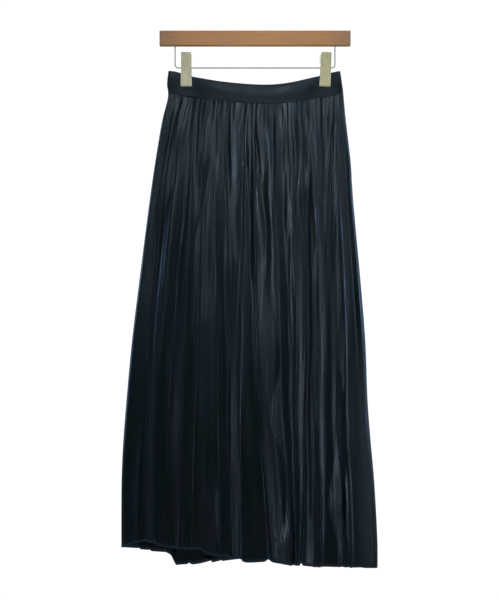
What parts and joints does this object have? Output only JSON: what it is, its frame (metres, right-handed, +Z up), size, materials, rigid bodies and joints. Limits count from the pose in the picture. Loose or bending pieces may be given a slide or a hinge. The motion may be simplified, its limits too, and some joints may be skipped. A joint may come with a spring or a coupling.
{
  "type": "maxi skirt",
  "caption": "Dark navy velour maxi skirt with fine pleats from a plain waistband to the hem, held by two spring clips on a wooden bar hanger.",
  "frame": {"origin": "middle of the hanger bar's flat top, where the hook of the real hanger stands", "axes": "+Z up; the skirt's front faces -Y and +X is to the right of someone who looks at its front"},
  "size_m": [0.4743, 0.0731, 0.9925],
  "materials": {
    "pleated_velour": "short pile with a satin sheen, pressed in fine pleats",
    "band_velour": "short pile, faced and flat",
    "bar_wood": "fine straight grain under satin varnish",
    "bright_steel": "bright drawn wire",
    "clip_plastic": "moulded, semi-gloss"
  },
  "bodies": {
    "root": {"waistband": "band_velour", "front_panel": "pleated_velour", "back_panel": "pleated_velour", "hanger_bar": "bar_wood", "hanger_wire": "bright_steel", "clip_left_front": "clip_plastic", "clip_left_back": "clip_plastic", "clip_left_barrel": "bright_steel", "clip_left_spring": "bright_steel", "clip_right_front": "clip_plastic", "clip_right_back": "clip_plastic", "clip_right_barrel": "bright_steel", "clip_right_spring": "bright_steel"}
  },
  "joints": []
}
